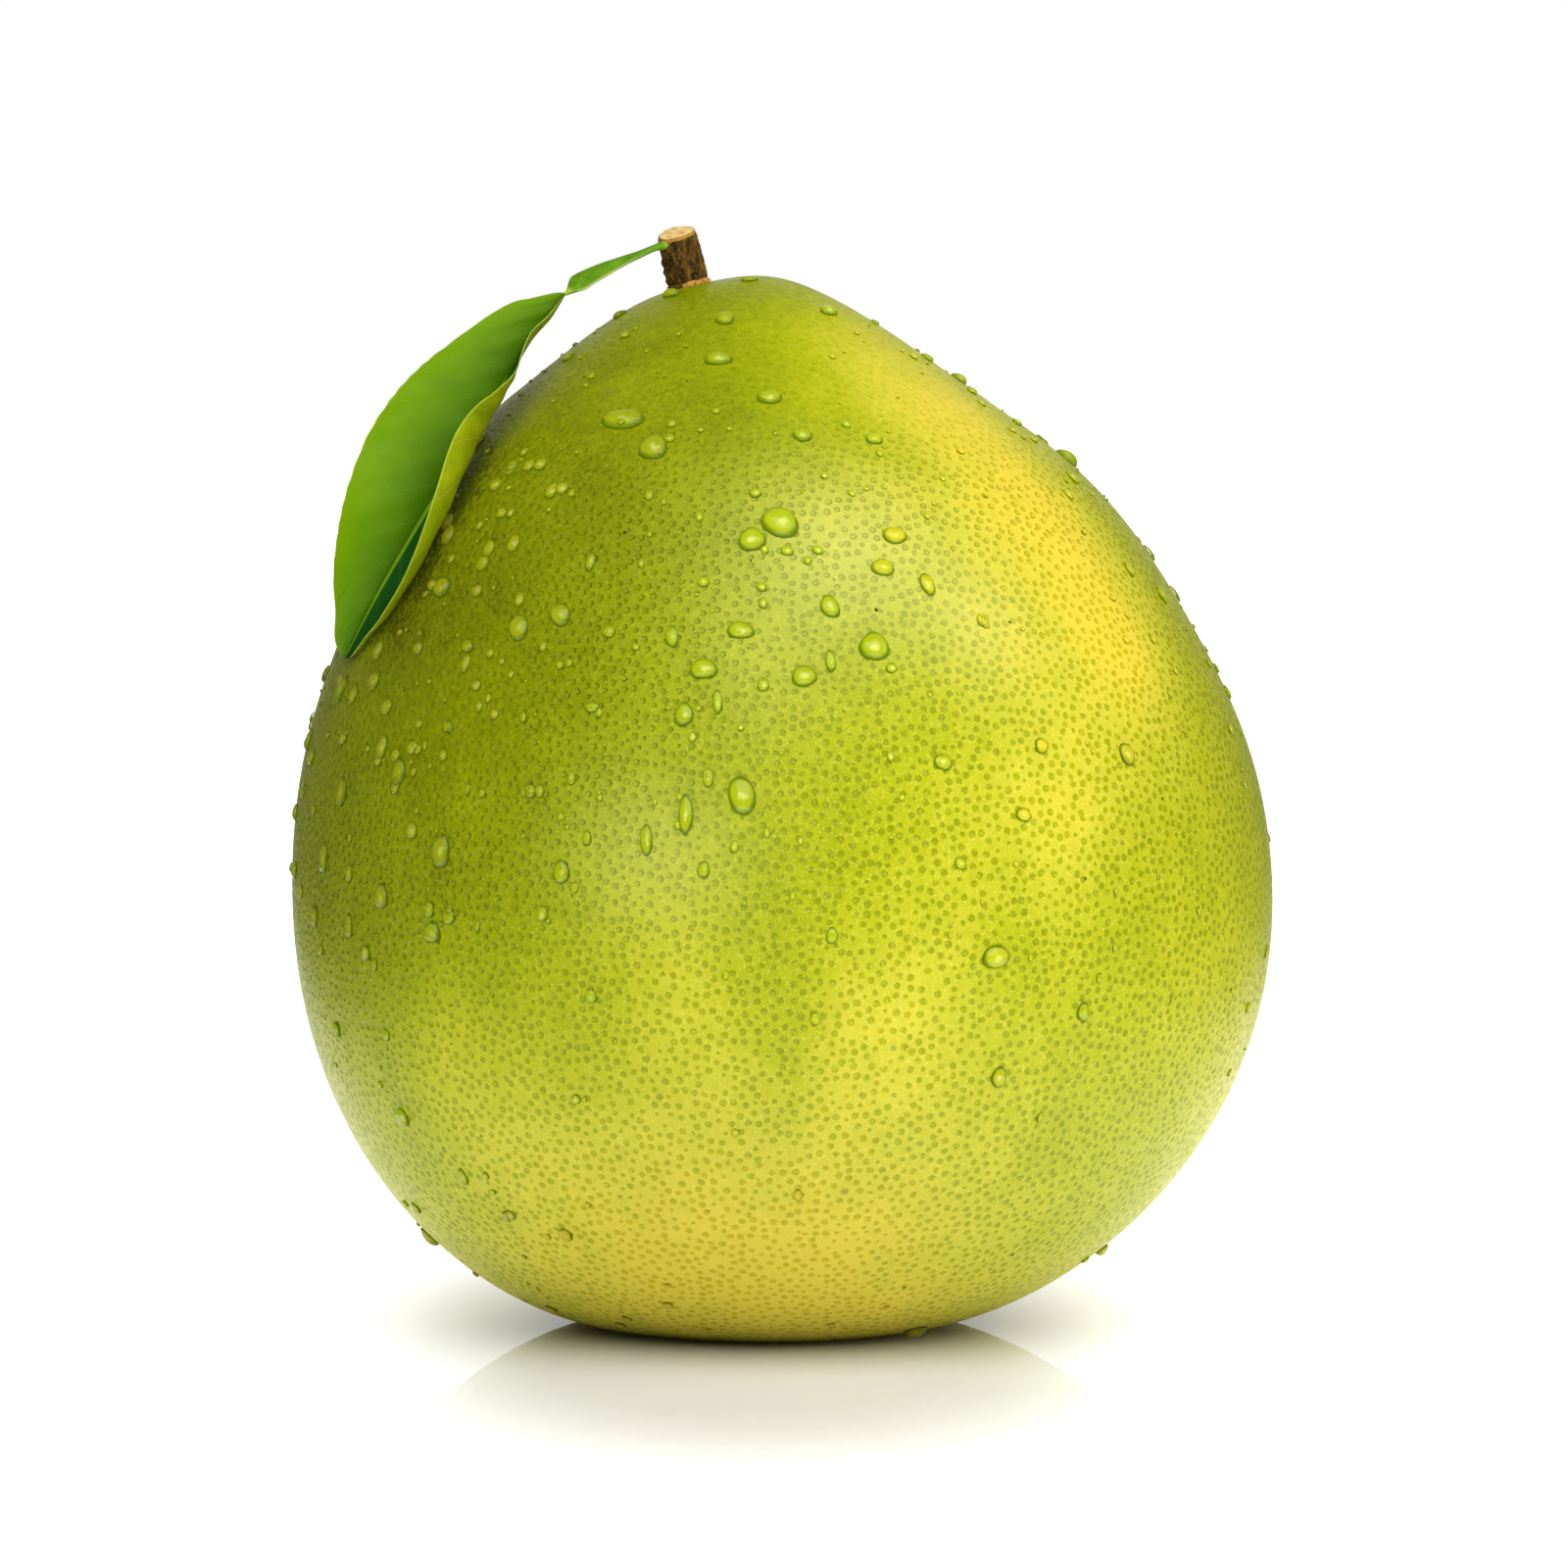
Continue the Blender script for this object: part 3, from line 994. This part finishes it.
# ------------------------------
# The floor, the lights and the camera. A white glossy light table, one large soft light high in
# front, a second on the right, and a long lens a little above the fruit's belly.

# The table is narrow in front and wide behind.
TABLE_CORNERS = np.array([(-90, -800, 0), (90, -800, 0), (1200, 8000, 0), (-1200, 8000, 0)])
TABLE_COLOUR, TABLE_GLOW, TABLE_HAZE = srgb(239, 241, 252), 1.15, 0.4


def floor_material():
    """White glossy acrylic, lit from below more and more away from the fruit's front foot. Part
    of it is hazy, so it mirrors the fruit only faintly."""
    made, tree = new_material("white light table")
    away = vector_length(tree, stretched(tree, place_on(tree), (1.2, 0.55, 1), (0.003, 0.015, 0)))
    lit = {
        "Base Color": TABLE_COLOUR,
        "Emission Color": WHITE,
        "Emission Strength": rescale(tree, away, 0.035, 0.12, 0.0, TABLE_GLOW),
    }
    glossy = add_node(tree, "BsdfPrincipled", {**lit, "Roughness": 0.0})
    hazy = {**lit, "Roughness": 0.8, "Specular IOR Level": 0.0}
    return mixed_material(made, TABLE_HAZE, glossy, add_node(tree, "BsdfPrincipled", hazy))


floor = new_piece("table_top", TABLE_CORNERS, np.array([[0, 1, 2, 3]]), floor_material())

LIGHTS_AIM = np.array([0.0, 0.0, 0.078])


def stand(name, data, aim, azimuth, elevation, distance):
    """A lamp or camera at a distance in metres from a point, facing it. Azimuth 0 is the front,
    90 the right."""
    turn, rise = np.radians(azimuth), np.radians(elevation)
    back = np.array([np.sin(turn) * np.cos(rise), -np.cos(turn) * np.cos(rise), np.sin(rise)])
    made = bpy.data.objects.new(name, data)
    made.location = aim + back * distance
    made.rotation_mode = "QUATERNION"
    made.rotation_quaternion = Vector(back).to_track_quat("Z", "Y")
    bpy.context.scene.collection.objects.link(made)
    return made


def soft_light(name, azimuth, elevation, distance, width, height, brightness, colour):
    """A rectangular light that faces the fruit. Its power is pi times its area times its
    brightness, where a white wall in full light is 1."""
    lamp = bpy.data.lights.new(name, "AREA")
    lamp.shape = "RECTANGLE"
    lamp.size, lamp.size_y = width, height
    lamp.energy = np.pi * width * height * brightness
    lamp.color = colour
    stand(name, lamp, LIGHTS_AIM, azimuth, elevation, distance).visible_camera = False


soft_light("front softbox", 6, 46, 0.7, 0.9, 0.75, 2.75, (1.0, 1.0, 1.0))
soft_light("right softbox", 72, 22, 0.6, 0.4, 0.7, 1.25, (1.0, 0.88, 0.72))

# The room: white where it is seen or mirrored sharply, and otherwise a warm white wall that is
# bright low behind the fruit and dim elsewhere.
WARM_WHITE = (1.0, 0.93, 0.82, 1.0)
LOW_BEHIND, WALL_DIM, WALL_BRIGHT = (0, 0.955, 0.295), 0.2, 0.85
world = bpy.data.worlds.new("white studio")
bpy.context.scene.world = world
world.use_nodes = True
room = world.node_tree
room.nodes.clear()
toward = add_node(room, "TexCoord").outputs["Generated"]
rightward = add_node(room, "SeparateXYZ", {"Vector": toward}).outputs["X"]
wall = add_node(room, "VectorMath", {0: toward, 1: LOW_BEHIND}, operation="DOT_PRODUCT")
wall = rescale(room, wall.outputs["Value"], 0.87, 0.97, WALL_DIM, WALL_BRIGHT)
glow = calc(room, "MULTIPLY_ADD", rightward, 0.06, wall)
path = add_node(room, "LightPath")
seen = calc(room, "MAXIMUM", path.outputs["Is Camera Ray"], path.outputs["Is Singular Ray"])
glow = calc(room, "MAXIMUM", glow, seen)
shine = {"Color": mix(room, seen, WARM_WHITE, WHITE), "Strength": glow}
sky = add_node(room, "Background", shine)
add_node(room, "OutputWorld", {"Surface": sky.outputs[0]})

CAMERA_AIM = np.array([0.0003, 0.0, 0.0824])
CAMERA_RISE, CAMERA_DISTANCE = 3.8, 1.1952
lens = bpy.data.cameras.new("camera")
lens.lens = 180
lens.sensor_width = 36
camera = stand("camera", lens, CAMERA_AIM, 0, CAMERA_RISE, CAMERA_DISTANCE)
bpy.context.scene.camera = camera
bpy.context.scene.view_settings.view_transform = "Standard"
